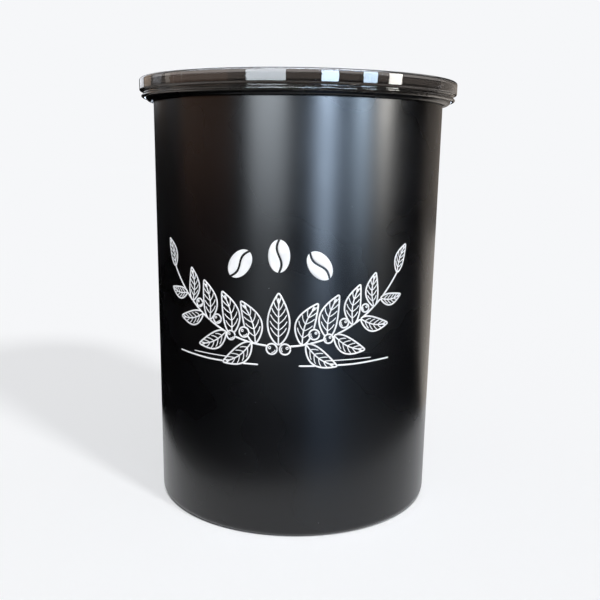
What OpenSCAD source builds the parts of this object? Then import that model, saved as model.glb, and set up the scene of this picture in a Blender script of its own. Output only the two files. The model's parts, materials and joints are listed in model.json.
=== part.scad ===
// Coffee canister with a snap-on outer lid and a plunging inner lid that carries a vent valve.
// The canister stands on z = 0 with its axis on Z. The handle's hinge line runs along X.
// Raising the handle turns a cam that pushes the valve stem down and opens the vent.

/* [Canister] */
// Outside diameter of the steel wall
body_d = 124; // [112:1:136]
// Height from the standing ring to the top of the rolled rim
canister_h = 177.8; // [166:0.1:220]
// Thickness of the steel sheet
sheet_t = 0.6; // [0.5:0.05:0.8]
// Outside radius of the corner between wall and base
base_corner_r = 3; // [2:0.25:5]
// Height that the base panel is pressed up
base_recess_h = 2; // [1.4:0.1:3]
// Width of the flat ring that the canister stands on
standing_ring_w = 7; // [4:0.5:12]
// Width of the rolled rim
bead_w = 3.8; // [3.2:0.1:4.2]
// Gap between the rolled rim's raw edge and the wall
raw_edge_gap = 0.35; // [0.2:0.05:0.6]

/* [Outer lid] */
// Thickness of the lid's panel and of its crown
panel_t = 1.6; // [1.2:0.1:2]
// Height of the band's crown over the panel's underside
band_h = 5.2; // [4.6:0.1:9]
// Height of the band's lower edge over the panel's underside
band_rise = 0.2; // [0:0.1:0.6]
// Thickness of the band's outer wall
band_t = 1.4; // [1:0.1:1.6]
// Thickness of the step from the skirt out to the band
band_floor_t = 1.1; // [0.8:0.1:1.4]
// Width of the step from the skirt out to the band
band_step = 1; // [0.6:0.1:1.6]
// Radius of the band's top edge
band_edge_r = 1; // [0.6:0.1:1.4]
// Thickness of the skirt that grips the rolled rim
skirt_t = 1.2; // [1:0.1:1.6]
// Length of the skirt below the band
skirt_drop = 2.7; // [2.3:0.1:3.2]
// Radius of the round lip along the skirt's lower edge
lip_r = 0.5; // [0.4:0.05:0.6]
// Radius of the hollow that runs round between the band and that lip
cove_r = 0.8; // [0.6:0.05:0.85]
// Thickness of the skirt behind the hollow
cove_t = 0.7; // [0.6:0.05:0.9]
// Radial clearance between the skirt and the rolled rim
skirt_clearance = 0.3; // [0.25:0.05:0.5]
// Thickness of the wall round the stacking recess
stack_wall_t = 1.5; // [1:0.1:1.7]
// Radial clearance round a base that stands in the stacking recess
stack_clearance = 0.6; // [0.4:0.1:0.8]
// Thickness of the plug wall inside the mouth
plug_t = 1.4; // [1:0.1:2]
// Length of the plug wall
plug_depth = 5; // [3:0.5:8]
// Radial clearance round the plug
plug_clearance = 0.4; // [0.3:0.05:0.8]
// Gap between the rolled rim's crown and the panel that rests on it
lid_seat_gap = 0.2; // [0.15:0.05:0.4]
// Diameter of the panel's sunken centre
panel_centre_d = 84; // [60:1:100]
// Depth of the panel's sunken centre
panel_centre_drop = 0.4; // [0.2:0.1:0.8]

/* [Inner lid] */
// Height of the inner lid's collar
collar_h = 25; // [24.5:0.5:30]
// Thickness of the collar
collar_t = 2.2; // [1.8:0.1:2.8]
// Thickness of the floor
floor_t = 2.4; // [2:0.1:3]
// Radial clearance between the inner lid's flanges and the canister
flange_clearance = 1; // [0.8:0.1:1.4]
// Width of the flanges outside the collar
flange_w = 2.9; // [2.5:0.1:3.5]
// Thickness of each flange
flange_t = 2; // [1.6:0.1:2.6]
// Height of the groove that holds the gasket
groove_h = 7; // [6:0.5:9]
// Radial clearance between the gasket's lips and the canister
lip_clearance = 0.2; // [0.15:0.01:0.3]
// Thickness of a gasket lip
gasket_lip_t = 0.8; // [0.6:0.1:1.2]
// Number of ribs on the floor
rib_count = 12; // [8:2:20]
// Thickness of a rib
rib_t = 1.4; // [1:0.1:2]
// Height of a rib over the floor
rib_h = 2.2; // [1:0.1:4]

/* [Handle] */
// Width of the handle between the middles of its legs
handle_w = 68; // [60:1:74]
// Reach of the handle from its hinge line
handle_reach = 40; // [34:1:44]
// Width of the handle's bar
bar_w = 9; // [7:0.5:11]
// Thickness of the handle's bar
bar_t = 6; // [5:0.5:7]
// Bend radius at the middle of the bar
bend_r = 16; // [12:1:20]
// Radius of the hinge barrel and of the cam's base circle
barrel_r = 4; // [3.6:0.1:4.4]
// Radius of a hinge pin
pin_r = 1.5; // [1.2:0.1:1.8]
// Depth of a hinge pin in the barrel
pin_depth = 8; // [5:0.5:12]
// Radial clearance of the hinge pin in the barrel
pin_clearance = 0.06; // [0.03:0.01:0.1]
// Thickness of an ear
ear_t = 4; // [3:0.5:5]
// Gap between the barrel's end and the ear
ear_gap = 0.5; // [0.3:0.1:1]
// Gap between the folded handle and its posts
rest_gap = 0.3; // [0.2:0.05:0.6]
// Width of the cam
cam_w = 7; // [5:0.5:9]
// Radius of the posts under the folded handle's legs
rest_r = 2.5; // [2:0.1:3.5]
// Number of grip ridges on the handle's bar
grip_count = 5; // [3:2:9]

/* [Valve] */
// Distance that the stem is pushed down when the handle stands up
valve_stroke = 2.4; // [1.6:0.1:2.6]
// Radius of the stem
stem_r = 2; // [1.6:0.1:2.4]
// Radius of the stem's head
head_r = 5; // [4.6:0.1:5.2]
// Thickness of the stem's head
head_t = 1.6; // [1.2:0.1:2]
// Radial clearance of the stem in its guide
stem_clearance = 0.08; // [0.05:0.01:0.12]
// Gap between the cam and the stem's head
cam_gap = 0.1; // [0.05:0.01:0.2]
// Radius of the rubber seal
seal_r = 12; // [11:0.1:12.6]
// Thickness of the rubber seal
seal_t = 1.5; // [1:0.1:1.8]
// Thickness of the clip under the seal
retainer_t = 1.2; // [1:0.1:1.5]
// Radius of the clip under the seal
retainer_r = 4.2; // [3.4:0.1:5]
// Inside radius of the valve chamber
chamber_r = 14; // [13.4:0.1:16]
// Depth of the valve chamber from the inner lid's underside
chamber_h = 7.2; // [7:0.1:8]
// Thickness of the plate that the seal closes against
seat_t = 1.8; // [1.4:0.1:2.2]
// Number of vent holes
vent_count = 6; // [4:1:8]
// Radius of a vent hole
vent_r = 1.3; // [0.9:0.1:1.4]
// Length of the spring as installed
spring_len = 5.6; // [5.4:0.1:6.4]
// Diameter of the spring's wire
wire_d = 0.5; // [0.4:0.05:0.55]
// Turns of the spring
spring_turns = 5; // [4:1:5]
// Thickness of the guard under the valve
guard_t = 1.4; // [1:0.1:1.5]
// Number of slots in the guard
guard_slots = 12; // [8:2:16]

/* [Hidden] */
$fn = 96;
overlap = 0.05; // how far two shapes of one piece run into each other

// Canister
body_r = body_d / 2;
mouth_r = body_r - sheet_t;
bead_roll_r = mouth_r + bead_w / 2; // radius of the middle of the roll
bead_r = mouth_r + bead_w;
bead_mid_z = canister_h - bead_w / 2;
standing_ring_r = body_r - base_corner_r - standing_ring_w;
press_r = base_recess_h / 2; // radius of each bend between standing ring and base panel
panel_r = standing_ring_r - 2 * press_r;

// Outer lid
lid_z = canister_h + lid_seat_gap; // the panel's underside
lid_top_z = lid_z + band_h;
skirt_in_r = bead_r + skirt_clearance;
skirt_out_r = skirt_in_r + skirt_t;
band_r = skirt_out_r + band_step;
band_low_z = lid_z + band_rise;
skirt_low_z = band_low_z - skirt_drop;
lip_reach = 0.3; // how far the lip stands out from the skirt
cove_mid_r = skirt_in_r + cove_t + cove_r;
cove_mid_z = band_low_z - cove_r;
stack_r = body_r + stack_clearance;
stack_out_r = stack_r + stack_wall_t;
plug_r = mouth_r - plug_clearance;
snap_r = 0.35; // the inward ridge that grips the rolled rim
snap_reach = 0.1; // how far that ridge stands in from the skirt

// Inner lid, with z measured from its underside
flange_r = mouth_r - flange_clearance;
collar_r = flange_r - flange_w;
collar_in_r = collar_r - collar_t;
lip_out_r = mouth_r - lip_clearance;
seat_z = chamber_h; // the underside of the plate that the seal closes against
spring_z = chamber_h + seat_t;
head_z = spring_z + spring_len;
pivot_z = head_z + head_t + cam_gap + barrel_r;
hub_r = chamber_r + 2;
sleeve_in_r = head_r + 0.6;
sleeve_out_r = sleeve_in_r + 1.6;
sleeve_top_z = head_z + head_t - valve_stroke - 0.3;
vent_ring_r = (sleeve_out_r + seal_r - 1.2) / 2; // circle of the vent holes, inside the seal's rim
rib_in_r = hub_r - overlap;
rib_out_r = collar_in_r + overlap;

// The inner lid stands as high as the upright handle allows under the closed outer lid
handle_headroom = 1.9;
inner_z = lid_z - handle_headroom - handle_reach - pivot_z;

// Handle
leg_x = handle_w / 2;
barrel_half = leg_x + bar_w / 2;
ear_x = barrel_half + ear_gap;
ear_r = barrel_r + 0.5;
leg_len = handle_reach - bar_w / 2 - bend_r; // straight part of a leg
grip_y = -(handle_reach - bar_w / 2);
cam_rise = valve_stroke / (PI / 2); // rise per radian, so the lift keeps step with the angle
pin_half = pin_depth + ear_gap + ear_t;

// A rectangle in the (radius, height) plane with its own radius at each corner
module soft_rect(r0, z0, r1, z1, low_in = 0, low_out = 0, top_out = 0, top_in = 0) {
    difference() {
        translate([r0, z0]) square([r1 - r0, z1 - z0]);
        corner_waste(r0, z0, 1, 1, low_in);
        corner_waste(r1, z0, -1, 1, low_out);
        corner_waste(r1, z1, -1, -1, top_out);
        corner_waste(r0, z1, 1, -1, top_in);
    }
}

// What a round corner of radius r leaves off, at the corner (x, z) that points away from (sx, sz)
module corner_waste(x, z, sx, sz, r) {
    if (r > 0) {
        difference() {
            translate([sx > 0 ? x - 1 : x - r, sz > 0 ? z - 1 : z - r]) square(r + 1);
            translate([x + sx * r, z + sz * r]) circle(r);
        }
    }
}

// A quarter of a bent sheet round (x, z), in the quadrant that (sx, sz) points to
module bent_sheet(x, z, sx, sz, r_out, t) {
    intersection() {
        difference() {
            translate([x, z]) circle(r_out);
            translate([x, z]) circle(r_out - t);
        }
        translate([sx > 0 ? x : x - r_out, sz > 0 ? z : z - r_out]) square(r_out);
    }
}

// The sheet rolls outwards and down, and its raw edge stops just short of the wall
module rolled_rim_section() {
    difference() {
        translate([bead_roll_r, bead_mid_z]) circle(bead_w / 2);
        translate([bead_roll_r, bead_mid_z]) circle(bead_w / 2 - sheet_t);
        translate([body_r - sheet_t, bead_mid_z - bead_w]) square([sheet_t + raw_edge_gap, bead_w]);
    }
}

module canister_section() {
    translate([mouth_r, base_corner_r]) square([sheet_t, bead_mid_z - base_corner_r]);
    bent_sheet(body_r - base_corner_r, base_corner_r, 1, -1, base_corner_r, sheet_t);
    translate([standing_ring_r, 0]) square([standing_ring_w, sheet_t]);
    bent_sheet(standing_ring_r, sheet_t / 2 + press_r, -1, -1, press_r + sheet_t / 2, sheet_t);
    bent_sheet(panel_r, sheet_t / 2 + press_r, 1, 1, press_r + sheet_t / 2, sheet_t);
    translate([0, base_recess_h]) square([panel_r, sheet_t]);
    rolled_rim_section();
}

module canister_shell() {
    color("#17181b") rotate_extrude() canister_section();
}

// The lid is an upside-down channel over the rolled rim, with a panel across the mouth
module outer_lid_section() {
    centre_r = panel_centre_d / 2;
    soft_rect(centre_r, lid_z, stack_out_r, lid_z + panel_t);
    soft_rect(0, lid_z - panel_centre_drop, centre_r + panel_t, lid_z + panel_t - panel_centre_drop, low_out = 0.3);
    soft_rect(plug_r - plug_t, lid_z - plug_depth, plug_r, lid_z + overlap, low_in = 0.4, low_out = 0.6);
    soft_rect(stack_r, lid_z, stack_out_r, lid_top_z, top_in = 0.6);
    soft_rect(stack_r, lid_top_z - panel_t, band_r, lid_top_z, top_out = band_edge_r, top_in = 0.6);
    soft_rect(band_r - band_t, band_low_z, band_r, lid_top_z, low_out = 0.4, top_out = band_edge_r);
    soft_rect(skirt_in_r, band_low_z, band_r, band_low_z + band_floor_t, low_out = 0.4);
    difference() {
        union() {
            soft_rect(skirt_in_r, skirt_low_z, skirt_out_r, band_low_z + overlap, low_in = 0.2, low_out = 0.3);
            translate([skirt_out_r - overlap, cove_mid_z]) square([cove_mid_r - skirt_out_r + overlap, cove_r + overlap]);
        }
        translate([cove_mid_r, cove_mid_z]) circle(cove_r);
    }
    translate([skirt_out_r - lip_r + lip_reach, skirt_low_z + lip_r + 0.1]) circle(lip_r);
    translate([skirt_in_r + snap_r - snap_reach, skirt_low_z + snap_r]) circle(snap_r);
}

module outer_lid() {
    color("#2b2a2a") rotate_extrude() outer_lid_section();
}

module inner_lid_section() {
    soft_rect(0, 0, collar_r, floor_t);
    soft_rect(collar_in_r, 0, collar_r, collar_h, top_in = 0.8);
    soft_rect(collar_in_r, 0, flange_r, flange_t, low_out = 0.6, top_out = 0.3);
    soft_rect(collar_in_r, flange_t + groove_h, flange_r, 2 * flange_t + groove_h, low_out = 0.3, top_out = 0.6);
    soft_rect(collar_in_r, collar_h - flange_t, flange_r, collar_h, low_out = 0.4, top_out = 0.9, top_in = 0.8);
    soft_rect(0, 0, hub_r, chamber_h + seat_t, top_out = 0.8);
    soft_rect(0, chamber_h, sleeve_out_r, sleeve_top_z, top_out = 0.4);
}

// The hollow under and through the middle of the inner lid
module valve_hollow() {
    translate([0, 0, -1]) cylinder(r = chamber_r, h = chamber_h + 1);
    translate([0, 0, spring_z]) cylinder(r = sleeve_in_r, h = collar_h);
    translate([0, 0, chamber_h - 1]) cylinder(r = stem_r + stem_clearance, h = seat_t + 2);
    for (i = [0 : vent_count - 1]) {
        rotate([0, 0, i * 360 / vent_count])
            translate([vent_ring_r, 0, chamber_h - 1]) cylinder(r = vent_r, h = seat_t + 2);
    }
}

// An ear carries one end of the hinge. Its foot is wider than its top.
module ear(side) {
    difference() {
        union() {
            translate([side > 0 ? ear_x : -ear_x - ear_t, 0, 0])
                rotate([90, 0, 90]) linear_extrude(ear_t) {
                    translate([0, pivot_z]) circle(ear_r);
                    polygon([
                        [-ear_r - 3, floor_t - overlap], [ear_r + 3, floor_t - overlap],
                        [ear_r, pivot_z], [-ear_r, pivot_z]
                    ]);
                }
            translate([side > 0 ? ear_x + ear_t - overlap : -ear_x - ear_t - 4, -rib_t / 2, floor_t - overlap])
                cube([4 + overlap, rib_t, pivot_z - floor_t - 4]);
        }
        translate([side > 0 ? ear_x - 1 : -ear_x - ear_t - 1, 0, pivot_z])
            rotate([0, 90, 0]) cylinder(r = pin_r, h = ear_t + 2);
    }
}

// A post on the floor that the folded handle's leg comes to rest on
module handle_rest(side) {
    top_z = pivot_z - bar_t / 2 - rest_gap;
    translate([side * leg_x, -leg_len + rest_r, floor_t - overlap])
        cylinder(r = rest_r, h = top_z - floor_t + overlap);
}

module floor_ribs() {
    for (i = [0 : rib_count - 1]) {
        rotate([0, 0, (i + 0.5) * 360 / rib_count])
            translate([rib_in_r, -rib_t / 2, floor_t - overlap])
                cube([rib_out_r - rib_in_r, rib_t, rib_h + overlap]);
    }
}

module inner_lid_plate() {
    color("#26272a") translate([0, 0, inner_z]) {
        difference() {
            union() {
                rotate_extrude() inner_lid_section();
                floor_ribs();
            }
            valve_hollow();
        }
        for (side = [-1, 1]) {
            ear(side);
            handle_rest(side);
        }
    }
}

// The gasket fills the groove and reaches for the wall with two lips, one up and one down
module wiper_gasket_section() {
    back_r = collar_r;
    face_r = flange_r - 0.6;
    low = flange_t;
    top = flange_t + groove_h;
    soft_rect(back_r, low, face_r, top, low_out = 0.4, top_out = 0.4);
    polygon([
        [face_r - 0.5, low + 3], [face_r - 0.5, low + 1.4],
        [lip_out_r, low + 0.3], [lip_out_r, low + 0.3 + gasket_lip_t]
    ]);
    polygon([
        [face_r - 0.5, top - 1.4], [face_r - 0.5, top - 3],
        [lip_out_r, top - 0.3 - gasket_lip_t], [lip_out_r, top - 0.3]
    ]);
}

module wiper_gasket() {
    color("#3a3b3e") translate([0, 0, inner_z]) rotate_extrude() wiper_gasket_section();
}

// The cam's flat-follower lift grows in step with the angle, so its face is an involute of a circle
function cam_point(a) =
    let (h = barrel_r + cam_rise * a * PI / 180)
    [h * sin(a) + cam_rise * cos(a), -h * cos(a) + cam_rise * sin(a)];

module cam_outline() {
    polygon(concat(
        [for (a = [0 : 5 : 90]) cam_point(a)],
        [[barrel_r * cos(60), barrel_r * sin(60)], [0, 0], [0, -barrel_r]]
    ));
}

module bar_section() {
    round_r = bar_t / 2 - 0.4;
    soft_rect(-bar_w / 2, -bar_t / 2, bar_w / 2, bar_t / 2, round_r, round_r, round_r, round_r);
}

// The handle as folded, flat over the floor towards -Y, with its hinge line at z = 0
module handle_form() {
    for (side = [-1, 1]) {
        translate([side * leg_x, 0, 0])
            rotate([90, 0, 0]) linear_extrude(leg_len) bar_section();
        translate([side * (leg_x - bend_r), -leg_len, 0])
            rotate([0, 0, side > 0 ? -90 : 180])
                rotate_extrude(angle = 90) translate([bend_r, 0]) bar_section();
    }
    translate([-(leg_x - bend_r), grip_y, 0])
        rotate([90, 0, 90]) linear_extrude(2 * (leg_x - bend_r)) bar_section();
    translate([-barrel_half, 0, 0]) rotate([0, 90, 0]) cylinder(r = barrel_r, h = 2 * barrel_half);
    translate([-cam_w / 2, 0, 0]) rotate([90, 0, 90]) linear_extrude(cam_w) cam_outline();
    for (i = [0 : grip_count - 1]) {
        translate([(i - (grip_count - 1) / 2) * 5, grip_y - bar_w / 2 + 1.2, -bar_t / 2])
            rotate([-90, 0, 0]) cylinder(r = 0.7, h = bar_w - 2.4);
    }
}

module handle() {
    color("#303134") translate([0, 0, inner_z + pivot_z]) {
        difference() {
            handle_form();
            for (side = [-1, 1]) {
                translate([side > 0 ? barrel_half - pin_depth : -barrel_half - 1, 0, 0])
                    rotate([0, 90, 0]) cylinder(r = pin_r + pin_clearance, h = pin_depth + 1);
            }
        }
    }
}

module hinge_pins() {
    color("silver") for (side = [-1, 1]) {
        translate([side > 0 ? barrel_half - pin_depth + 0.3 : -ear_x - ear_t, 0, inner_z + pivot_z])
            rotate([0, 90, 0]) cylinder(r = pin_r, h = pin_half - 0.3);
    }
}

// The stem hangs from its head and has a groove at its lower end for the clip
module valve_stem_section() {
    clip_top_z = seat_z - seal_t;
    soft_rect(0, clip_top_z, stem_r, head_z + overlap);
    soft_rect(0, clip_top_z - retainer_t - overlap, stem_r - 0.5, clip_top_z + overlap);
    soft_rect(0, clip_top_z - retainer_t - 0.4, stem_r, clip_top_z - retainer_t, low_out = 0.2);
    soft_rect(0, head_z, head_r, head_z + head_t, top_out = 0.5);
}

module valve_stem() {
    color("#d9d4c8") translate([0, 0, inner_z]) rotate_extrude() valve_stem_section();
}

// The seal is a flat disc with a low bead that takes the pressure near its rim
module valve_seal() {
    color("#b9b4ab") translate([0, 0, inner_z]) rotate_extrude() {
        soft_rect(stem_r, seat_z - seal_t, seal_r, seat_z, low_out = 0.5, top_out = 0.2);
        translate([seal_r - 2, seat_z - seal_t]) circle(0.4);
    }
}

module seal_retainer() {
    color("silver") translate([0, 0, inner_z + seat_z - seal_t - retainer_t])
        difference() {
            cylinder(r = retainer_r, h = retainer_t);
            translate([0, 0, -1]) cylinder(r = stem_r - 0.5, h = retainer_t + 2);
            translate([0, -0.5, -1]) cube([retainer_r + 1, 1, retainer_t + 2]);
        }
}

// The spring's wire as one tube that climbs round the stem
spring_r = (stem_r + sleeve_in_r) / 2;
wire_sides = 6;
turn_steps = 8;
spring_rise = (spring_len - wire_d - 0.1) / spring_turns;
function wire_middle(a) = [spring_r * cos(a), spring_r * sin(a), wire_d / 2 + 0.05 + spring_rise * a / 360];
function wire_ring(a) = [
    for (k = [0 : wire_sides - 1])
        let (b = k * 360 / wire_sides, out = spring_r + wire_d / 2 * cos(b))
        [out * cos(a), out * sin(a), wire_middle(a)[2] + wire_d / 2 * sin(b)]
];
spring_rings = [for (i = [0 : turn_steps * spring_turns]) wire_ring(i * 360 / turn_steps)];
last_ring = len(spring_rings) - 1;
least_gap = min([
    for (i = [0 : last_ring - turn_steps], p = spring_rings[i], q = spring_rings[i + turn_steps]) norm(p - q)
]);
echo(least_gap_between_turns_mm = least_gap);

module valve_spring() {
    points = [for (ring = spring_rings) each ring];
    sides = [
        for (i = [0 : last_ring - 1], k = [0 : wire_sides - 1])
            let (
                a = i * wire_sides + k, b = i * wire_sides + (k + 1) % wire_sides,
                c = b + wire_sides, d = a + wire_sides
            )
            each [[a, b, c], [a, c, d]]
    ];
    first_end = [for (k = [1 : wire_sides - 2]) [0, k + 1, k]];
    n = last_ring * wire_sides;
    last_end = [for (k = [1 : wire_sides - 2]) [n, n + k, n + k + 1]];
    color("silver") translate([0, 0, inner_z + spring_z])
        polyhedron(points = points, faces = [for (f = concat(sides, first_end, last_end)) [f[0], f[2], f[1]]]);
}

// The guard keeps grounds off the seal. Air passes through its slots.
module valve_guard() {
    slot_in_r = 5;
    slot_out_r = chamber_r - 3;
    guard_r = chamber_r - 0.1;
    color("#26272a") translate([0, 0, inner_z]) difference() {
        cylinder(r = guard_r, h = guard_t);
        for (i = [0 : guard_slots - 1]) {
            rotate([0, 0, i * 360 / guard_slots])
                translate([slot_in_r, -0.6, -1]) cube([slot_out_r - slot_in_r, 1.2, guard_t + 2]);
        }
        translate([0, 0, -1]) cylinder(r = stem_r + 0.8, h = guard_t + 2);
    }
}

canister_shell();
outer_lid();
inner_lid_plate();
wiper_gasket();
handle();
hinge_pins();
valve_stem();
valve_seal();
seal_retainer();
valve_spring();
valve_guard();
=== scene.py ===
# Finishes, print, studio and camera for a steel coffee canister with a plunging lid.
# Lengths are in metres. The canister stands on z = 0 and its print faces -Y.
import json
import math

import bmesh
import bpy
from mathutils import Matrix, Vector


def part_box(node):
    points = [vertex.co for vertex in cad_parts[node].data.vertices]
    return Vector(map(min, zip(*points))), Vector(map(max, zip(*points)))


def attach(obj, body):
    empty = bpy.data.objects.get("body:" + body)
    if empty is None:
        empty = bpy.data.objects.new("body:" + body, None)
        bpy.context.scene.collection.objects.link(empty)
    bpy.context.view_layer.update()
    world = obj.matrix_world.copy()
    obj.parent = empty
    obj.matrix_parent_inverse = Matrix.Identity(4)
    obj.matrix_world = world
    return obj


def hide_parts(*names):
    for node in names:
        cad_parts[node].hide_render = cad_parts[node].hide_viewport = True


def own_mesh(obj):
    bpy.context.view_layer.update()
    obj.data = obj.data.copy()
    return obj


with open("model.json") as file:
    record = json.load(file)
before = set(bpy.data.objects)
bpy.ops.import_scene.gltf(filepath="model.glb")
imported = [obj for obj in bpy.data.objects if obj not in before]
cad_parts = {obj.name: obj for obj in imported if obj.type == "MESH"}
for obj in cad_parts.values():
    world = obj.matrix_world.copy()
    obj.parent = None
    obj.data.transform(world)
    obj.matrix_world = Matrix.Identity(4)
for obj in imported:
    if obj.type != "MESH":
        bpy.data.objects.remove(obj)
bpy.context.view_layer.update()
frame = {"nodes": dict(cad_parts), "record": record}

MM = 0.001
nodes = frame["nodes"]
mounts = {mount["name"]: mount for mount in frame["record"]["mounts"]}

# Sizes read from the frame
body_r = mounts["body_barrel"]["dims"]["r_mm"] * MM
spring_low, spring_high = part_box("valve_spring")
RIM_H = 1.9 * MM
PANEL_R = 56 * MM

# Camera, fitted to the photograph's outline
CAMERA_SIDE = 2.36 * MM
CAMERA_BACK = 354 * MM
CAMERA_HEIGHT = 153.9 * MM
CAMERA_PITCH = math.radians(13.5)
CAMERA_ROLL = math.radians(0.89)
FOCAL_PIXELS = 779
AXIS_BELOW_MIDDLE_PIXELS = 40
IMAGE_PIXELS = 600
SENSOR = 36


def srgb(red, green, blue):
    """A colour written as the 0 to 255 tones of a picture, as scene-linear values."""
    def linear(tone):
        share = tone / 255
        return share / 12.92 if share <= 0.04045 else ((share + 0.055) / 1.055) ** 2.4
    return (linear(red), linear(green), linear(blue), 1)


PAPER = srgb(246, 247, 249)


# Shader building

def put(tree, kind, inputs=None, **settings):
    """Adds a shader node. A value in inputs is a constant, or an output socket to link from."""
    made = tree.nodes.new("ShaderNode" + kind)
    for name, value in settings.items():
        setattr(made, name, value)
    for name, value in (inputs or {}).items():
        socket = made.inputs[name]
        if isinstance(value, bpy.types.NodeSocket):
            tree.links.new(value, socket)
        else:
            socket.default_value = value
    return made


def maths(tree, operation, first, second=0.0, third=0.0):
    made = put(tree, "Math", {0: first, 1: second, 2: third}, operation=operation)
    return made.outputs[0]


def ramp(tree, value, low, high, to_low=0.0, to_high=1.0):
    """Value, mapped smoothly from low..high to to_low..to_high."""
    made = put(
        tree, "MapRange",
        {"Value": value, "From Min": low, "From Max": high, "To Min": to_low, "To Max": to_high},
        interpolation_type="SMOOTHSTEP",
    )
    return made.outputs[0]


def blend_colours(tree, share, first, second):
    made = put(tree, "Mix", data_type="RGBA")
    for socket, value in ((made.inputs[0], share), (made.inputs[6], first), (made.inputs[7], second)):
        if isinstance(value, bpy.types.NodeSocket):
            tree.links.new(value, socket)
        else:
            socket.default_value = value
    return made.outputs[2]


def shader_group(name, inputs, outputs):
    """An empty node group with float inputs, their defaults and named outputs."""
    group = bpy.data.node_groups.new(name, "ShaderNodeTree")
    for socket_name, value in inputs.items():
        socket = group.interface.new_socket(socket_name, in_out="INPUT", socket_type="NodeSocketFloat")
        socket.default_value = value
    for socket_name in outputs:
        group.interface.new_socket(socket_name, in_out="OUTPUT", socket_type="NodeSocketFloat")
    return group, group.nodes.new("NodeGroupInput").outputs, group.nodes.new("NodeGroupOutput").inputs


def use_group(tree, group, **inputs):
    made = put(tree, "Group", node_tree=group)
    for name, value in inputs.items():
        made.inputs[name.replace("_", " ").capitalize()].default_value = value
    return made.outputs


def principled(name, colour, roughness, **sockets):
    """A material with a Principled shader. Returns the material, its tree and the shader's inputs."""
    material = bpy.data.materials.new(name)
    material.use_nodes = True
    tree = material.node_tree
    tree.nodes.clear()
    shader = put(tree, "BsdfPrincipled", {"Base Color": colour, "Roughness": roughness})
    for socket_name, value in sockets.items():
        shader.inputs[socket_name.replace("_", " ")].default_value = value
    put(tree, "OutputMaterial", {"Surface": shader.outputs[0]})
    return material, tree, shader.inputs


def drive(tree, socket, value):
    tree.links.new(value, socket)


def bump(tree, inputs, height, depth, strength=1.0):
    made = put(tree, "Bump", {"Height": height, "Strength": strength, "Distance": depth})
    drive(tree, inputs["Normal"], made.outputs[0])


# Effects that several finishes share

def make_grain_group():
    """The fine texture that a mould or a spray leaves, with a slower drift over it."""
    group, given, result = shader_group("surface grain", {"Size": 0.0005, "Drift size": 0.02}, ["Height", "Drift"])
    place = put(group, "TexCoord").outputs["Object"]
    per_metre = maths(group, "DIVIDE", 1.0, given["Size"])
    drift_per_metre = maths(group, "DIVIDE", 1.0, given["Drift size"])
    fine = put(group, "TexNoise", {"Vector": place, "Scale": per_metre, "Detail": 3.0, "Roughness": 0.6})
    slow = put(group, "TexNoise", {"Vector": place, "Scale": drift_per_metre, "Detail": 2.0})
    drive(group, result["Height"], fine.outputs[0])
    drive(group, result["Drift"], slow.outputs[0])
    return group


def make_fleck_group():
    """Sparse small specks, as of dust or lint. Spacing is the mean distance between them."""
    group, given, result = shader_group("flecks", {"Spacing": 0.004, "Fleck size": 0.0001, "Share": 0.3}, ["Mask"])
    place = put(group, "TexCoord").outputs["Object"]
    per_metre = maths(group, "DIVIDE", 1.0, given["Spacing"])
    cells = put(group, "TexVoronoi", {"Vector": place, "Scale": per_metre, "Randomness": 1.0})
    radius = maths(group, "DIVIDE", given["Fleck size"], given["Spacing"])
    spot = maths(group, "LESS_THAN", cells.outputs["Distance"], radius)
    tone = put(group, "SeparateColor", {0: cells.outputs["Color"]}).outputs[0]
    kept = maths(group, "LESS_THAN", tone, given["Share"])
    drive(group, result["Mask"], maths(group, "MULTIPLY", spot, kept))
    return group


def make_brushing_group():
    """Fine lines that run round the canister's axis, as a polishing wheel leaves them."""
    group, given, result = shader_group(
        "brushing", {"Line pitch": 0.0002, "Line length": 0.03, "Radius": 0.06}, ["Height", "Streak"]
    )
    place = put(group, "SeparateXYZ", {0: put(group, "TexCoord").outputs["Object"]}).outputs
    angle = maths(group, "ARCTAN2", place[0], place[1])
    reach = maths(group, "SQRT", maths(group, "MULTIPLY_ADD", place[0], place[0],
                                       maths(group, "MULTIPLY", place[1], place[1])))
    along = maths(group, "DIVIDE", maths(group, "MULTIPLY", angle, given["Radius"]), given["Line length"])
    across = maths(group, "DIVIDE", maths(group, "ADD", place[2], reach), given["Line pitch"])
    lines_at = put(group, "CombineXYZ", {0: along, 1: across}).outputs[0]
    broad_at = put(group, "CombineXYZ", {0: along, 1: maths(group, "MULTIPLY", across, 0.06)}).outputs[0]
    lines = put(group, "TexNoise", {"Vector": lines_at, "Scale": 1.0, "Detail": 4.0, "Roughness": 0.7})
    broad = put(group, "TexNoise", {"Vector": broad_at, "Scale": 1.0, "Detail": 2.0})
    drive(group, result["Height"], lines.outputs[0])
    drive(group, result["Streak"], broad.outputs[0])
    return group


grain = make_grain_group()
flecks = make_fleck_group()
brushing = make_brushing_group()


# Finishes

def powder_coat():
    """Satin black coat with a faint orange peel and a little dust."""
    material, tree, inputs = principled("satin powder coat", srgb(3, 3, 4), 0.3, IOR=1.5)
    coat = use_group(tree, grain, size=0.9 * MM, drift_size=45 * MM)
    dust = use_group(tree, flecks, spacing=5 * MM, fleck_size=0.16 * MM, share=0.25)
    drive(tree, inputs["Base Color"], blend_colours(tree, dust["Mask"], srgb(3, 3, 4), srgb(120, 122, 126)))
    drive(tree, inputs["Roughness"], ramp(tree, coat["Drift"], 0.3, 0.7, 0.25, 0.31))
    bump(tree, inputs, coat["Height"], 0.012 * MM)
    return material


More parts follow.
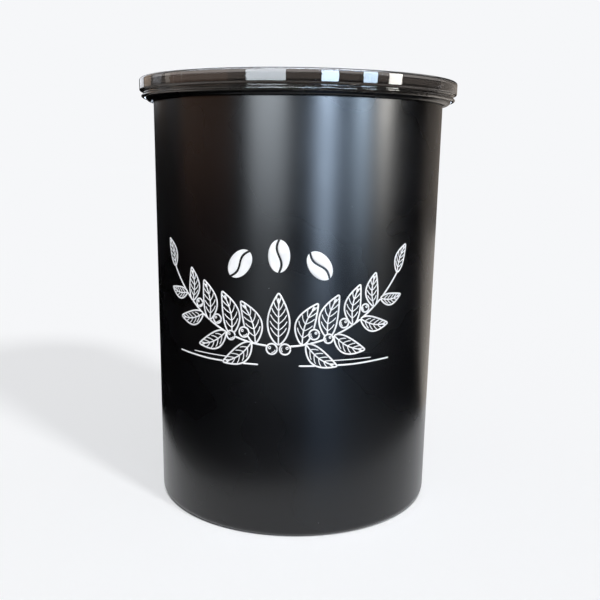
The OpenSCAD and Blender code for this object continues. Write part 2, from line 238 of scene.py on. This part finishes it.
def brushed_steel(name, pitch, roughness):
    """Bare stainless sheet or wire with fine lines round the axis."""
    material, tree, inputs = principled(name, srgb(196, 194, 190), roughness, Metallic=1.0)
    lines = use_group(tree, brushing, line_pitch=pitch, line_length=25 * MM, radius=60 * MM)
    tone = ramp(tree, lines["Streak"], 0.3, 0.7)
    drive(tree, inputs["Base Color"], blend_colours(tree, tone, srgb(184, 182, 178), srgb(206, 205, 202)))
    drive(tree, inputs["Roughness"], ramp(tree, lines["Height"], 0.3, 0.7, roughness - 0.05, roughness + 0.08))
    bump(tree, inputs, lines["Height"], 0.006 * MM)
    return material


def smoke_plastic(name, tint):
    """Clear gloss plastic with a grey-brown smoke tint and faint handling marks.

    It casts a tinted shadow, so that lamps also light what lies under it. A ray crosses two
    surfaces of it, and each takes the root of the tint.
    """
    material, tree, inputs = principled(name, tint, 0.03, IOR=1.5, Transmission_Weight=1.0)
    marks = use_group(tree, grain, size=5 * MM, drift_size=18 * MM)
    drive(tree, inputs["Roughness"], ramp(tree, marks["Drift"], 0.45, 0.7, 0.025, 0.06))
    bump(tree, inputs, marks["Height"], 0.03 * MM)
    shader = tree.nodes["Principled BSDF"]
    through = put(tree, "BsdfTransparent", {"Color": tuple(math.sqrt(share) for share in tint)})
    for_lamps = put(tree, "LightPath").outputs["Is Shadow Ray"]
    either = put(tree, "MixShader", {0: for_lamps, 1: shader.outputs[0], 2: through.outputs[0]})
    tree.links.new(either.outputs[0], tree.nodes["Material Output"].inputs["Surface"])
    return material


def moulded_plastic(name, dark, pale, roughness, texture):
    """Satin moulded plastic: a fine spark texture, a slow drift of tone and some dust."""
    material, tree, inputs = principled(name, dark, roughness, IOR=1.5)
    skin = use_group(tree, grain, size=texture, drift_size=14 * MM)
    dust = use_group(tree, flecks, spacing=3 * MM, fleck_size=0.12 * MM, share=0.2)
    tone = blend_colours(tree, ramp(tree, skin["Drift"], 0.35, 0.65), dark, pale)
    drive(tree, inputs["Base Color"], blend_colours(tree, dust["Mask"], tone, srgb(120, 120, 120)))
    drive(tree, inputs["Roughness"], ramp(tree, skin["Drift"], 0.3, 0.7, roughness - 0.04, roughness + 0.05))
    bump(tree, inputs, skin["Height"], 0.03 * MM)
    return material


def silicone(name, dark, pale):
    """Matt silicone rubber, which holds dust."""
    material, tree, inputs = principled(name, dark, 0.55, IOR=1.41, Sheen_Weight=0.15, Sheen_Roughness=0.4)
    skin = use_group(tree, grain, size=0.6 * MM, drift_size=9 * MM)
    dust = use_group(tree, flecks, spacing=1.8 * MM, fleck_size=0.12 * MM, share=0.35)
    tone = blend_colours(tree, ramp(tree, skin["Drift"], 0.35, 0.65), dark, pale)
    drive(tree, inputs["Base Color"], blend_colours(tree, dust["Mask"], tone, srgb(150, 148, 145)))
    drive(tree, inputs["Roughness"], ramp(tree, skin["Height"], 0.3, 0.7, 0.5, 0.62))
    bump(tree, inputs, skin["Height"], 0.02 * MM)
    return material


def print_ink():
    """White screen ink, slightly uneven, on the coat."""
    material, tree, inputs = principled("white ink", srgb(236, 237, 240), 0.42, IOR=1.5)
    film = use_group(tree, grain, size=0.35 * MM, drift_size=7 * MM)
    tone = ramp(tree, film["Drift"], 0.3, 0.7)
    drive(tree, inputs["Base Color"], blend_colours(tree, tone, srgb(226, 228, 232), srgb(243, 244, 246)))
    drive(tree, inputs["Roughness"], ramp(tree, film["Height"], 0.3, 0.7, 0.36, 0.5))
    bump(tree, inputs, film["Height"], 0.006 * MM)
    return material


coat = powder_coat()
steel_sheet = brushed_steel("brushed steel sheet", 0.25 * MM, 0.3)
steel_small = brushed_steel("bright steel", 0.08 * MM, 0.2)
smoke = smoke_plastic("smoke plastic", srgb(130, 125, 121))
smoke_panel = smoke_plastic("smoke plastic panel", srgb(192, 188, 183))
ink = print_ink()
pan_plastic = moulded_plastic("inner lid plastic", srgb(30, 30, 32), srgb(37, 37, 39), 0.42, 0.45 * MM)
handle_plastic = moulded_plastic("handle plastic", srgb(38, 38, 41), srgb(45, 45, 48), 0.36, 0.4 * MM)
nylon = moulded_plastic("natural nylon", srgb(214, 208, 194), srgb(222, 217, 205), 0.4, 0.5 * MM)
gasket_rubber = silicone("gasket silicone", srgb(52, 53, 56), srgb(60, 61, 64))
seal_rubber = silicone("seal silicone", srgb(176, 172, 164), srgb(186, 182, 175))

FINISHES = {
    "canister_shell": coat,
    "outer_lid": smoke,
    "inner_lid_plate": pan_plastic,
    "valve_guard": pan_plastic,
    "handle": handle_plastic,
    "wiper_gasket": gasket_rubber,
    "valve_seal": seal_rubber,
    "valve_stem": nylon,
    "hinge_pins": steel_small,
    "seal_retainer": steel_small,
}
for node_name, finish in FINISHES.items():
    nodes[node_name].data.materials.clear()
    nodes[node_name].data.materials.append(finish)


def bare_inside():
    """The coat covers the outside and the rolled rim. The inside is bare up to where the rim starts to turn."""
    mesh = nodes["canister_shell"].data
    mesh.materials.append(steel_sheet)
    sheet = 0.6 * MM
    mouth_r = body_r - sheet
    rim_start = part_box("canister_shell")[1].z - RIM_H
    slack = 0.05 * MM
    for face in mesh.polygons:
        place = face.center
        reach = math.hypot(place.x, place.y)
        inward = -(face.normal.x * place.x + face.normal.y * place.y) / max(reach, MM)
        faces_in = inward > 0.3 or face.normal.z > 0.3
        top = max(mesh.vertices[corner].co.z for corner in face.vertices)
        if faces_in and reach < mouth_r + 0.2 * MM and top < rim_start + slack:
            face.material_index = 1


def thin_panel():
    """The lid's panel is thinner than its band is seen through, so its smoke tint is paler."""
    mesh = nodes["outer_lid"].data
    mesh.materials.append(smoke_panel)
    for face in mesh.polygons:
        if abs(face.normal.z) > 0.9 and math.hypot(face.center.x, face.center.y) < PANEL_R:
            face.material_index = 1


bare_inside()
thin_panel()


# Print: line art of a coffee plant, drawn flat in millimetres and wrapped on the wall.
# u runs round the wall to the right, v runs up from the art's middle.

ART_MIDDLE_U = -6.0
ART_MIDDLE_V = 98.5
OUTLINE_W = 0.65
VEIN_W = 0.38
STEP = 0.3


def bezier(a, b, c, d, count=28):
    points = []
    for i in range(count + 1):
        t = i / count
        s = 1 - t
        weights = (s ** 3, 3 * s * s * t, 3 * s * t * t, t ** 3)
        points.append((
            sum(w * p[0] for w, p in zip(weights, (a, b, c, d))),
            sum(w * p[1] for w, p in zip(weights, (a, b, c, d))),
        ))
    return points


def inside(point, polygon):
    u, v = point
    hit = False
    for (u0, v0), (u1, v1) in zip(polygon, polygon[1:] + polygon[:1]):
        if (v0 > v) != (v1 > v) and u < (u1 - u0) * (v - v0) / (v1 - v0) + u0:
            hit = not hit
    return hit


def finely(points):
    """The same line with a point at least every STEP millimetres."""
    out = [points[0]]
    for p, q in zip(points, points[1:]):
        parts = max(1, math.ceil(math.dist(p, q) / STEP))
        out += [(p[0] + (q[0] - p[0]) * k / parts, p[1] + (q[1] - p[1]) * k / parts) for k in range(1, parts + 1)]
    return out


class Drawing:
    """Strokes and solid patches. A shape that is laid on top hides what was drawn under it."""

    def __init__(self):
        self.strokes = []
        self.patches = []

    def stroke(self, points, width):
        self.strokes.append((finely(points), width))

    def clear_under(self, polygon):
        kept = []
        for points, width in self.strokes:
            run = []
            for point in points:
                if inside(point, polygon):
                    if len(run) > 2:
                        kept.append((run, width))
                    run = []
                else:
                    run.append(point)
            if len(run) > 2:
                kept.append((run, width))
        self.strokes = kept

    def leaf(self, base, tip, breadth, veins=5, bend=0.12):
        """A leaf from base to tip, with a midrib that bends to one side and paired veins."""
        length = math.dist(base, tip)
        along = ((tip[0] - base[0]) / length, (tip[1] - base[1]) / length)
        side = (-along[1], along[0])

        def at(t, offset):
            sway = bend * length * math.sin(math.pi * t)
            return (
                base[0] + along[0] * length * t + side[0] * (offset + sway),
                base[1] + along[1] * length * t + side[1] * (offset + sway),
            )

        def half_breadth(t):
            return breadth / 2 * math.sin(math.pi * t ** 0.8) ** 0.85

        steps = [i / 30 for i in range(31)]
        left = [at(t, half_breadth(t)) for t in steps]
        right = [at(t, -half_breadth(t)) for t in steps]
        self.clear_under(left + right[::-1])
        self.stroke(left, OUTLINE_W)
        self.stroke(right, OUTLINE_W)
        self.stroke([at(t, 0) for t in steps[:28]], OUTLINE_W * 0.8)
        for i in range(veins):
            t = 0.16 + 0.62 * i / (veins - 1)
            for way in (1, -1):
                reach = half_breadth(min(t + 0.13, 0.97)) * 0.78
                self.stroke([
                    at(t, 0), at(t + 0.05, way * reach * 0.4), at(t + 0.11, way * reach * 0.75), at(t + 0.18, way * reach),
                ], VEIN_W)

    def cherry(self, middle, radius, lean):
        """A coffee cherry with the small crown that the flower leaves, and a curved highlight."""
        ring = [
            (middle[0] + radius * math.cos(a), middle[1] + radius * math.sin(a))
            for a in (math.tau * i / 36 for i in range(37))
        ]
        self.clear_under(ring[:-1])
        self.stroke(ring, OUTLINE_W)
        crown = (middle[0] + radius * 0.45 * math.cos(lean), middle[1] + radius * 0.45 * math.sin(lean))
        self.stroke([
            (crown[0] + radius * 0.2 * math.cos(a), crown[1] + radius * 0.2 * math.sin(a))
            for a in (math.tau * i / 16 for i in range(17))
        ], VEIN_W)
        self.stroke([
            (middle[0] + radius * 0.66 * math.cos(lean + a), middle[1] + radius * 0.66 * math.sin(lean + a))
            for a in (2.0 + 1.5 * i / 10 for i in range(11))
        ], VEIN_W)

    def bean(self, middle, length, breadth, turn):
        """A solid bean with a bare, waving crease down its middle."""
        def place(x, y):
            return (
                middle[0] + x * math.cos(turn) - y * math.sin(turn),
                middle[1] + x * math.sin(turn) + y * math.cos(turn),
            )

        crease = 0.45
        for way in (-1, 1):
            rows = []
            for i in range(25):
                angle = math.pi * (0.02 + 0.96 * i / 24)
                x = -length / 2 * math.cos(angle)
                edge = way * breadth / 2 * math.sin(angle)
                middle_line = breadth * 0.11 * math.sin(math.tau * (x / length)) + way * crease
                inner = max(middle_line, -abs(edge)) if way < 0 else min(middle_line, abs(edge))
                rows.append([place(x, inner + (edge - inner) * k / 5) for k in range(6)])
            self.patches.append(rows)


def branch(art, way):
    """One leafy branch that sweeps out and up from the foot of the art."""
    stem = bezier((way * 1.5, -17.5), (way * 16, -17.5), (way * 36, -10), (way * 50, 10), 60)
    art.stroke(stem, OUTLINE_W * 1.15)
    below = [(12, 15.5, -36), (25, 15, -26), (38, 13.5, -12), (49, 11, 4)]
    above = [(10, 17.5, 70), (22, 17.5, 76), (34, 16, 80), (45, 13.5, 88)]
    for index, length, degrees in below + above:
        base = stem[index]
        angle = math.radians(degrees)
        tip = (base[0] + way * length * math.cos(angle), base[1] + length * math.sin(angle))
        art.leaf(base, tip, length * 0.42, bend=0.1 * way * (1 if degrees > 50 else -1))
    end = stem[-1]
    art.leaf(end, (end[0] + way * 4.5, end[1] + 11), 5.0, bend=0.08 * way)
    for index, out, up, radius in ((15, 0.6, 3.4, 2.0), (17, 4.6, 1.2, 1.8), (29, 0.6, 3.2, 1.8), (40, 0.2, 3.0, 1.6)):
        spot = stem[index]
        art.cherry((spot[0] + way * out, spot[1] + up), radius, math.radians(90 - way * 50))


def draw_print():
    art = Drawing()
    for way in (-1, 1):
        art.stroke([(way * 8, -25.2), (way * 30, -25.2), (way * 47, -24.4)], OUTLINE_W)
        art.stroke([(way * 12, -23.2), (way * 38, -23.2)], VEIN_W)
    branch(art, -1)
    branch(art, 1)
    art.leaf((0, -17), (0, 3.5), 8.6, veins=6, bend=0)
    for way in (-1, 1):
        art.cherry((way * 2.6, -18.6), 2.1, math.radians(90 - way * 60))
    for u, v, turn in ((-15.5, 14.0, 52), (0.0, 17.5, 90), (15.5, 14.0, 128)):
        art.bean((u, v), 12.5, 8.4, math.radians(turn))
    return art


def wrap(point, lift):
    """A point of the flat art, laid on the canister's wall."""
    angle = (point[0] + ART_MIDDLE_U) * MM / body_r
    reach = body_r + lift
    return (reach * math.sin(angle), -reach * math.cos(angle), (ART_MIDDLE_V + point[1]) * MM)


def ribbon(points, width):
    """Rows of left and right points along a line, narrowed at its ends."""
    rows = []
    last = len(points) - 1
    for i, (u, v) in enumerate(points):
        before, after = points[max(i - 1, 0)], points[min(i + 1, last)]
        du, dv = after[0] - before[0], after[1] - before[1]
        size = math.hypot(du, dv) or 1
        half = width / 2 * (0.45 if i in (0, last) else 0.9 if i in (1, last - 1) else 1)
        rows.append([(u - dv / size * half, v + du / size * half), (u + dv / size * half, v - du / size * half)])
    return rows


def make_print():
    """One mesh of thin ink. Strokes that cross lie at slightly different heights."""
    art = draw_print()
    film = 0.03 * MM
    vertices, faces = [], []
    sheets = art.patches + [ribbon(points, width) for points, width in art.strokes]
    for number, rows in enumerate(sheets):
        lift = film + (number % 7) * 0.003 * MM
        across = len(rows[0])
        first = len(vertices)
        for row in rows:
            vertices += [wrap(point, lift) for point in row]
        for i in range(len(rows) - 1):
            for k in range(across - 1):
                a = first + i * across + k
                faces.append((a, a + across, a + across + 1, a + 1))
    mesh = bpy.data.meshes.new("screen_print")
    mesh.from_pydata(vertices, [], faces)
    shape = bmesh.new()
    shape.from_mesh(mesh)
    bmesh.ops.recalc_face_normals(shape, faces=shape.faces)
    for face in shape.faces:
        middle = face.calc_center_median()
        if face.normal.x * middle.x + face.normal.y * middle.y < 0:
            face.normal_flip()
        face.smooth = True
    shape.to_mesh(mesh)
    shape.free()
    piece = bpy.data.objects.new("screen_print", mesh)
    bpy.context.scene.collection.objects.link(piece)
    mesh.materials.append(ink)
    thick = piece.modifiers.new("ink thickness", "SOLIDIFY")
    thick.thickness = film + 0.02 * MM
    thick.offset = -1
    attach(piece, "canister")
    return piece


make_print()


# Valve spring: round wire with closed ends, riding on the inner lid

def make_spring():
    wire_r = 0.25 * MM
    turns = 5
    dead = 0.75
    coil_r = spring_high.x - wire_r
    low = spring_low.z + wire_r
    high = spring_high.z - wire_r
    closed_rise = 2 * wire_r * 1.02
    per_turn, sides = 40, 12

    def height(turn):
        """Close-wound at both ends, even between them."""
        if turn < dead:
            return low + closed_rise * turn
        if turn > turns - dead:
            return high - closed_rise * (turns - turn)
        share = (turn - dead) / (turns - 2 * dead)
        return low + closed_rise * dead + share * (high - low - 2 * closed_rise * dead)

    shape = bmesh.new()
    rings = []
    for i in range(per_turn * turns + 1):
        turn = i / per_turn
        around = math.tau * turn
        ring = []
        for k in range(sides):
            part = math.tau * k / sides
            reach = coil_r + wire_r * math.cos(part)
            ring.append(shape.verts.new((
                reach * math.cos(around), reach * math.sin(around), height(turn) + wire_r * math.sin(part),
            )))
        rings.append(ring)
    for ring, after in zip(rings, rings[1:]):
        for k in range(sides):
            shape.faces.new((ring[k], ring[(k + 1) % sides], after[(k + 1) % sides], after[k]))
    shape.faces.new(rings[0])
    shape.faces.new(rings[-1])
    bmesh.ops.recalc_face_normals(shape, faces=shape.faces)
    for face in shape.faces:
        face.smooth = len(face.verts) == 4
    mesh = bpy.data.meshes.new("valve_spring_coil")
    shape.to_mesh(mesh)
    shape.free()
    piece = bpy.data.objects.new("valve_spring_coil", mesh)
    bpy.context.scene.collection.objects.link(piece)
    mesh.materials.append(steel_small)
    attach(piece, "inner_lid")
    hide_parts("valve_spring")
    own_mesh(piece)
    return piece


make_spring()


# Studio. Azimuths run from -Y, where the camera stands, towards +X.

TABLE_R = 6.0
ROOM_R = 1.4
ROOM_HIGH = 0.95
SKY_SHARE, FRONT_SHARE, KEY_SHARE = 0.21, 0.62, 0.17


def around(azimuth, reach, z):
    angle = math.radians(azimuth)
    return (reach * math.sin(angle), -reach * math.cos(angle), z)


def bright_table_reach(azimuth):
    """How far the pale paper shows in the coat's reflections; past it the reflections show painted shade. It reaches
    further to the right and behind.
    """
    angle = math.radians(azimuth)
    return 0.136 + 0.016 * math.sin(angle) - 0.023 * math.cos(angle) + 0.008 * math.cos(2 * angle)


def plain_material(name, colour):
    material = bpy.data.materials.new(name)
    material.use_nodes = True
    tree = material.node_tree
    tree.nodes.clear()
    shade = put(tree, "BsdfDiffuse", {"Color": colour})
    put(tree, "OutputMaterial", {"Surface": shade.outputs[0]})
    return material


def glow_material(name, colour, strength, fade_low=None, fade_high=None):
    """A glowing card. Between the two fade heights it grows from dark to full."""
    material = bpy.data.materials.new(name)
    material.use_nodes = True
    tree = material.node_tree
    tree.nodes.clear()
    glow = put(tree, "Emission", {"Color": colour, "Strength": strength})
    if fade_low is not None:
        place = put(tree, "SeparateXYZ", {0: put(tree, "TexCoord").outputs["Object"]}).outputs
        drive(tree, glow.inputs["Strength"], ramp(tree, place[2], fade_low, fade_high, 0.0, strength))
    put(tree, "OutputMaterial", {"Surface": glow.outputs[0]})
    material.cycles.emission_sampling = "NONE"
    return material


def stage_mesh(name, vertices, faces, material):
    mesh = bpy.data.meshes.new(name)
    mesh.from_pydata(vertices, [], faces)
    mesh.materials.append(material)
    piece = bpy.data.objects.new(name, mesh)
    bpy.context.scene.collection.objects.link(piece)
    return piece


def strip(name, low_edge, high_edge, material, closed=False):
    """A band of faces between two rows of points."""
    count = len(low_edge)
    last = count if closed else count - 1
    faces = [(i, (i + 1) % count, count + (i + 1) % count, count + i) for i in range(last)]
    return stage_mesh(name, low_edge + high_edge, faces, material)


def only_in_reflections(piece):
    piece.visible_camera = False
    piece.visible_diffuse = False
    piece.visible_transmission = False
    piece.visible_volume_scatter = False
    piece.visible_shadow = False


TURN = [360 * i / 96 for i in range(96)]


def make_table():
    paper = plain_material("paper", PAPER)
    seam = [around(a, bright_table_reach(a), 0) for a in TURN]
    stage_mesh("table_near", seam, [tuple(range(len(seam)))], paper)
    far = strip("table_far", seam, [around(a, TABLE_R, 0) for a in TURN], paper, closed=True)
    far.visible_glossy = False


def make_dark_room():
    """Painted shade seen only in reflections: dark cards round the set stand for a dark room, and a dark card just
    under the table, past the pale paper's reach, stands for the table in shade.
    """
    # A nearly black glow: painted shade for the reflections
    card = glow_material("painted shade card", (1, 1, 1, 1), 0.001)
    low = -4 * MM
    rim = [around(a, ROOM_R, low) for a in TURN]
    only_in_reflections(strip("room_shade_cards", rim, [around(a, ROOM_R, ROOM_HIGH) for a in TURN], card, closed=True))
    # Painted shade on the table in reflections, where the camera sees pale paper
    near = [around(a, bright_table_reach(a), low) for a in TURN]
    only_in_reflections(strip("table_shade_card", near, rim, card, closed=True))


def painted_reflection_card(name, azimuth, width, low, full, high, colour, strength):
    """A painted reflection: an upright glowing card between two elevations, which shows only in reflections and casts
    no light on the set, and fades out from full down to low. All in degrees.
    """
    reach = ROOM_R - 0.1
    eye = CAMERA_HEIGHT
    steps = [azimuth + width * (i / 12 - 0.5) for i in range(13)]
    heights = [eye + reach * math.tan(math.radians(elevation)) for elevation in (low, full, high)]
    glow = glow_material(name, colour, strength, heights[0], heights[1])
    card = strip(name, [around(a, reach, heights[0]) for a in steps], [around(a, reach, heights[2]) for a in steps], glow)
    only_in_reflections(card)


def sheen(name, azimuth, width, colour, strength):
    """What a window throws on the dark table, as a pale wedge in the coat's reflections."""
    steps = [azimuth + width * (i / 8 - 0.5) for i in range(9)]
    near = [around(a, bright_table_reach(a), -3 * MM) for a in steps]
    far = [around(a, ROOM_R - 0.1, -3 * MM) for a in steps]
    only_in_reflections(strip(name, near, far, glow_material(name, colour, strength)))


# Painted reflections of windows, walls, shelves, a door and a ceiling, as glowing cards that cast no light on the set:
# name, azimuth, width, low, full, high (degrees), colour, strength
PAINTED_REFLECTION_CARDS = [
    ("left_window", -21, 26, -6, 5, 24, srgb(236, 246, 255), 13.4),
    ("blue_window", 21.2, 11, -12, 3, 16, srgb(205, 228, 255), 31.5),
    ("middle_wall", 35.5, 16, 7, 9, 24, srgb(170, 210, 255), 6.0),
    ("right_window", 48.8, 10, -6, 2, 20, srgb(205, 230, 255), 24.0),
    ("lamp_window", 68, 10.5, -4, 5, 16, srgb(255, 252, 246), 23.0),
    ("warm_wall", -72, 50, -5, 0, 12, srgb(255, 200, 170), 0.5),
    ("warm_shelf", -64, 26, 4.5, 6.5, 30, srgb(255, 232, 205), 0.6),
    ("pale_shelf", -92, 20, 4.5, 6, 30, srgb(255, 244, 232), 1.4),
    ("grey_shelf", -113, 12, 5, 6.5, 30, srgb(235, 240, 250), 1.2),
    ("brown_shelf", -130, 14, 4.5, 6, 30, srgb(255, 226, 200), 0.8),
    ("pale_door", -147, 16, 4, 6, 30, srgb(245, 248, 255), 1.8),
    ("right_wall", 140, 50, -8, -3, 7, srgb(255, 240, 225), 0.35),
    ("back_window", 182, 22, -6, -3, 24, srgb(225, 238, 255), 6.0),
    ("ceiling", 15, 94, 36, 40, 60, srgb(236, 244, 255), 18.0),
]
SHEENS = [
    ("blue_sheen", 21, 24, srgb(150, 195, 255), 0.3),
    ("wall_sheen", 148, 56, srgb(255, 246, 236), 0.8),
]


def make_sun(name, came_from, share, softness):
    """A lamp that gives its share of the light on the paper."""
    towards = Vector(came_from).normalized()
    lamp = bpy.data.objects.new(name, bpy.data.lights.new(name, "SUN"))
    lamp.data.energy = share * math.pi / towards.z
    lamp.data.angle = math.radians(softness)
    lamp.rotation_euler = towards.to_track_quat("Z", "Y").to_euler()
    lamp.visible_glossy = False
    bpy.context.scene.collection.objects.link(lamp)


def make_lights():
    """A high front light, a key from the front right for the shadow, and an even sky."""
    world = bpy.data.worlds.new("studio")
    bpy.context.scene.world = world
    world.use_nodes = True
    tree = world.node_tree
    tree.nodes.clear()
    path = put(tree, "LightPath").outputs
    seen = maths(tree, "MAXIMUM", path["Is Camera Ray"],
                 maths(tree, "MAXIMUM", path["Is Glossy Ray"], path["Is Transmission Ray"]))
    sky = put(tree, "Background", {"Color": (1, 1, 1, 1), "Strength": SKY_SHARE})
    backdrop = put(tree, "Background", {"Color": PAPER, "Strength": 1.0})
    both = put(tree, "MixShader", {0: seen, 1: sky.outputs[0], 2: backdrop.outputs[0]})
    put(tree, "OutputWorld", {"Surface": both.outputs[0]})
    make_sun("front_light", (0, -0.6, 0.8), FRONT_SHARE, 9)
    make_sun("key_light", (0.68, -0.73, 0.64), KEY_SHARE, 8)


def make_camera():
    data = bpy.data.cameras.new("portrait")
    data.sensor_width = SENSOR
    data.lens = FOCAL_PIXELS / IMAGE_PIXELS * SENSOR
    data.shift_y = AXIS_BELOW_MIDDLE_PIXELS / IMAGE_PIXELS
    data.clip_start = 0.01
    camera = bpy.data.objects.new("portrait", data)
    level = Matrix.Rotation(math.radians(90), 4, "X")
    pitch = Matrix.Rotation(-CAMERA_PITCH, 4, "X")
    roll = Matrix.Rotation(CAMERA_ROLL, 4, "Z")
    place = Matrix.Translation((CAMERA_SIDE, -CAMERA_BACK, CAMERA_HEIGHT))
    camera.matrix_world = place @ pitch @ level @ roll
    bpy.context.scene.collection.objects.link(camera)
    bpy.context.scene.camera = camera


make_camera()
make_table()
make_dark_room()
for card_facts in PAINTED_REFLECTION_CARDS:
    painted_reflection_card(*card_facts)
for sheen_facts in SHEENS:
    sheen(*sheen_facts)
make_lights()
bpy.context.scene.view_settings.view_transform = "Standard"
